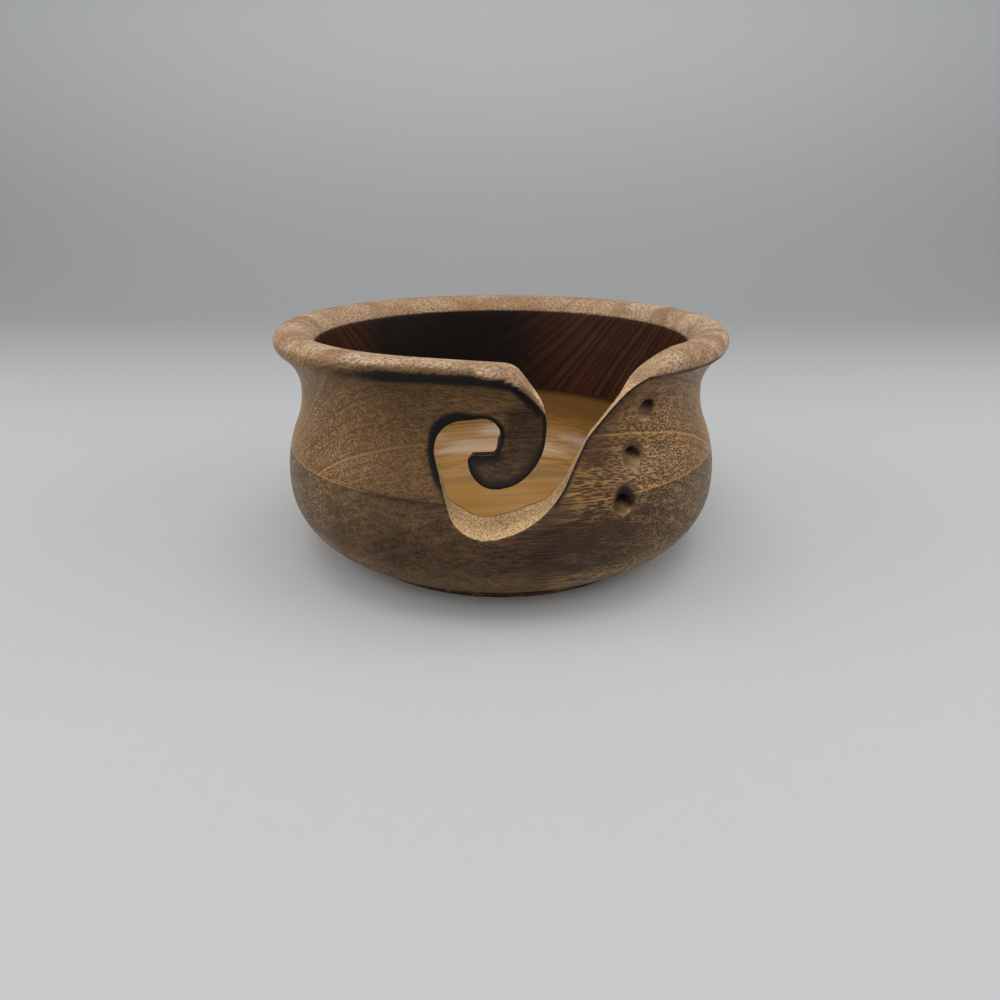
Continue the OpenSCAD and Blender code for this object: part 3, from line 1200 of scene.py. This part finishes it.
def stage_paper(tone):
    """Plain matt paper, with painted light: darker towards the back of the floor and paler up the backdrop.
    """
    paper = Recipe("stage paper")
    where = paper.tree.nodes.new("ShaderNodeTexCoord").outputs["Object"]
    tooth = paper.noise(where, 240, 3, 0.6)
    axes = paper.node("ShaderNodeSeparateXYZ", Vector=where)
    # Painted light: darker towards the back of the floor, paler up the backdrop.
    colour = paper.mix(paper.span(axes.outputs[1], 0.10, 0.50), tone, faded(tone, 0.82))
    colour = paper.mix(paper.span(axes.outputs[2], 0.0, 0.45), colour, faded(tone, 1.25))
    colour = paper.mix(paper.span(tooth, 0.3, 0.7, 0.0, 0.06), colour, faded(tone, 0.85))
    return paper.finish(colour, 0.75, tooth, 0.00005, Specular_IOR_Level=0.25)


# Pieces and operators


def finished_piece(name, mesh, node, material):
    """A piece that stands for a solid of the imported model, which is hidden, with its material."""
    obj = bpy.data.objects.new(name, mesh)
    bpy.context.scene.collection.objects.link(obj)
    mesh.materials.clear()
    mesh.materials.append(material)
    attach(obj, "root")
    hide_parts(node)


def slab(mesh, low, high, name):
    """The part of a closed mesh between two heights, closed again at the cuts."""
    bm = bmesh.new()
    bm.from_mesh(mesh)
    for level, side in ((low, -1), (high, 1)):
        if level is None:
            continue
        geom = bm.verts[:] + bm.edges[:] + bm.faces[:]
        cut = bmesh.ops.bisect_plane(
            bm, geom=geom, dist=1e-7, plane_co=(0, 0, level * MM), plane_no=(0, 0, side), clear_outer=True
        )
        rim = [g for g in cut["geom_cut"] if isinstance(g, bmesh.types.BMEdge)]
        for edge in rim:
            edge.smooth = False
        caps = bmesh.ops.triangle_fill(bm, use_beauty=True, edges=rim, normal=(0, 0, side))
        for face in caps["geom"]:
            if isinstance(face, bmesh.types.BMFace):
                face.smooth = False
    bmesh.ops.recalc_face_normals(bm, faces=bm.faces)
    part = bpy.data.meshes.new(name)
    bm.to_mesh(part)
    bm.free()
    return part


# Colours that both boards and the glue share
SHARED_COLOURS = ("pore", "sanded", "rubbed", "sawn", "burnt", "ember", "glue")


class YARNBOWL_OT_boards(Operator):
    """Turns, saws and drills the bowl, and parts it into its boards and the glue between them"""

    bl_idname = "yarnbowl.boards"
    bl_label = "Boards and glue joint"

    def execute(self, context):
        sizes, tints = context.scene.yarn_bowl_sizes, context.scene.yarn_bowl_colours
        form = BowlForm(sizes)
        mesh = carved_mesh(form, sizes.grain)
        place_points(mesh, form.settle(points_of(mesh)))
        finer_edges(mesh, form)
        place_points(mesh, form.settle(points_of(mesh)))
        for name, values in SurfaceMarks(form, points_of(mesh)).by_name().items():
            mark = mesh.attributes.new(name, "FLOAT", "POINT")
            mark.data.foreach_set("value", values.astype(np.float32))

        tones = {key: tuple(getattr(tints, key)) for key in SHARED_COLOURS}
        tones["stained"] = faded(tints.hollow_dark, 2.0)
        tones["dust"] = faded(tints.upper_light, 1.2)
        low, high = form.joint_z, form.joint_z + form.glue_t
        for name, levels, slot, material in (
            ("upper_board", (high, None), "upper_wood", upper_wood(tones, tints)),
            ("glue_joint", (low, high), "glue", glue_film(tones)),
            ("lower_board", (None, low), "lower_wood", lower_wood(tones, tints, low)),
        ):
            part = slab(mesh, *levels, name + "_carved")
            finished_piece(name + "_carved", part, name, material)
        bpy.data.meshes.remove(mesh)
        return {"FINISHED"}


# The stage, in metres and watts

# The floor reaches back this far, then sweeps up in a quarter turn into the backdrop.
FLOOR_FRONT = -1.6
FLOOR_BACK = 0.55
SWEEP = 0.6
SWEEP_STEPS = 16
BACKDROP_TOP = 2.2
FLOOR_WIDTH = 5

WARM_WHITE = (1.0, 0.98, 0.95)
PLAIN_WHITE = (1.0, 0.99, 0.97)
SKY_WHITE = (0.96, 0.98, 1.0, 1)
SKY_STRENGTH = 0.52
# Name, place, point it faces, width, height, power and colour of each soft light.
LIGHTS = (
    ("top_light", (0.0, -0.10, 0.95), (0, 0, 0.04), 0.9, 0.7, 4.6, WARM_WHITE),
    ("left_light", (-0.8, -0.1, 0.45), (0, 0, 0.04), 0.7, 0.6, 2.6, PLAIN_WHITE),
    ("right_light", (0.8, -0.1, 0.45), (0, 0, 0.04), 0.7, 0.6, 3.0, PLAIN_WHITE),
    ("front_light", (-0.15, -1.1, 0.9), (0, 0.1, 0.1), 1.0, 0.7, 6.0, WARM_WHITE),
)

CAMERA_PLACE = (-0.00032, -0.2449, 0.11274)
# Tilt from straight down in degrees, and focal length in millimetres.
CAMERA_TILT = 67.15
CAMERA_LENS = 24.93


def swept_floor(tone):
    """Floor and backdrop in one sheet, with its paper."""
    bm = bmesh.new()
    turns = [math.radians(90 * k / SWEEP_STEPS) for k in range(1, SWEEP_STEPS + 1)]
    bend = [(0, FLOOR_BACK + SWEEP * math.sin(a), SWEEP - SWEEP * math.cos(a)) for a in turns]
    run = [(0, FLOOR_FRONT, 0), (0, FLOOR_BACK, 0), *bend, (0, FLOOR_BACK + SWEEP, BACKDROP_TOP)]
    verts = [bm.verts.new(spot) for spot in run]
    edges = [bm.edges.new(pair) for pair in zip(verts, verts[1:])]
    bmesh.ops.translate(bm, verts=verts, vec=(-FLOOR_WIDTH / 2, 0, 0))
    swept = bmesh.ops.extrude_edge_only(bm, edges=edges)
    moved = [g for g in swept["geom"] if isinstance(g, bmesh.types.BMVert)]
    bmesh.ops.translate(bm, verts=moved, vec=(FLOOR_WIDTH, 0, 0))
    bmesh.ops.recalc_face_normals(bm, faces=bm.faces)
    floor = mesh_object("stage_floor", bm)
    floor.data.polygons.foreach_set("use_smooth", [True] * len(floor.data.polygons))
    floor.data.materials.append(stage_paper(tone))
    return floor


def soft_light(name, place, target, width, height, power, tone):
    """A rectangular lamp that faces its target."""
    data = bpy.data.lights.new(name, "AREA")
    data.shape = "RECTANGLE"
    data.size = width
    data.size_y = height
    data.energy = power
    data.color = tone
    lamp = bpy.data.objects.new(name, data)
    bpy.context.scene.collection.objects.link(lamp)
    aim = (Vector(target) - Vector(place)).to_track_quat("-Z", "Y")
    lamp.matrix_world = Matrix.Translation(place) @ aim.to_matrix().to_4x4()


def front_camera():
    """The camera, at the photograph's view of the bowl."""
    camera = bpy.data.objects.new("camera", bpy.data.cameras.new("camera"))
    bpy.context.scene.collection.objects.link(camera)
    camera.location = CAMERA_PLACE
    camera.rotation_euler = (math.radians(CAMERA_TILT), 0, 0)
    camera.data.sensor_width = 36
    camera.data.lens = CAMERA_LENS
    camera.data.clip_start = 0.01
    return camera


class YARNBOWL_OT_stage(Operator):
    """Sets the pale floor and backdrop, the soft lights and the camera"""

    bl_idname = "yarnbowl.stage"
    bl_label = "Stage, lights and camera"

    def execute(self, context):
        scene = context.scene
        floor = swept_floor(tuple(scene.yarn_bowl_colours.floor))
        world = scene.world or bpy.data.worlds.new("studio")
        scene.world = world
        world.use_nodes = True
        sky = world.node_tree.nodes["Background"]
        sky.inputs["Color"].default_value = SKY_WHITE
        sky.inputs["Strength"].default_value = SKY_STRENGTH
        for light in LIGHTS:
            soft_light(*light)
        scene.camera = front_camera()
        scene.view_settings.view_transform = "Standard"
        return {"FINISHED"}


class YARNBOWL_PT_panel(Panel):
    """Lists the bowl's steps, sizes and colours"""

    bl_idname = "YARNBOWL_PT_panel"
    bl_label = "Yarn Bowl"
    bl_space_type = "VIEW_3D"
    bl_region_type = "UI"
    bl_category = "Yarn Bowl"

    def draw(self, context):
        layout = self.layout
        for step in STEPS:
            layout.operator(step.bl_idname)
        for group in (context.scene.yarn_bowl_sizes, context.scene.yarn_bowl_colours):
            box = layout.box()
            for key in group.__annotations__:
                box.prop(group, key)


STEPS = (YARNBOWL_OT_boards, YARNBOWL_OT_stage)
CLASSES = (YARNBOWL_PG_sizes, YARNBOWL_PG_colours, *STEPS, YARNBOWL_PT_panel)


def register():
    for item in CLASSES:
        bpy.utils.register_class(item)
    bpy.types.Scene.yarn_bowl_sizes = PointerProperty(type=YARNBOWL_PG_sizes)
    bpy.types.Scene.yarn_bowl_colours = PointerProperty(type=YARNBOWL_PG_colours)


def unregister():
    del bpy.types.Scene.yarn_bowl_colours
    del bpy.types.Scene.yarn_bowl_sizes
    for item in reversed(CLASSES):
        bpy.utils.unregister_class(item)


def main():
    """Registers the tools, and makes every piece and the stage."""
    register()
    bpy.ops.yarnbowl.boards()
    bpy.ops.yarnbowl.stage()


if __name__ == "__main__":
    main()
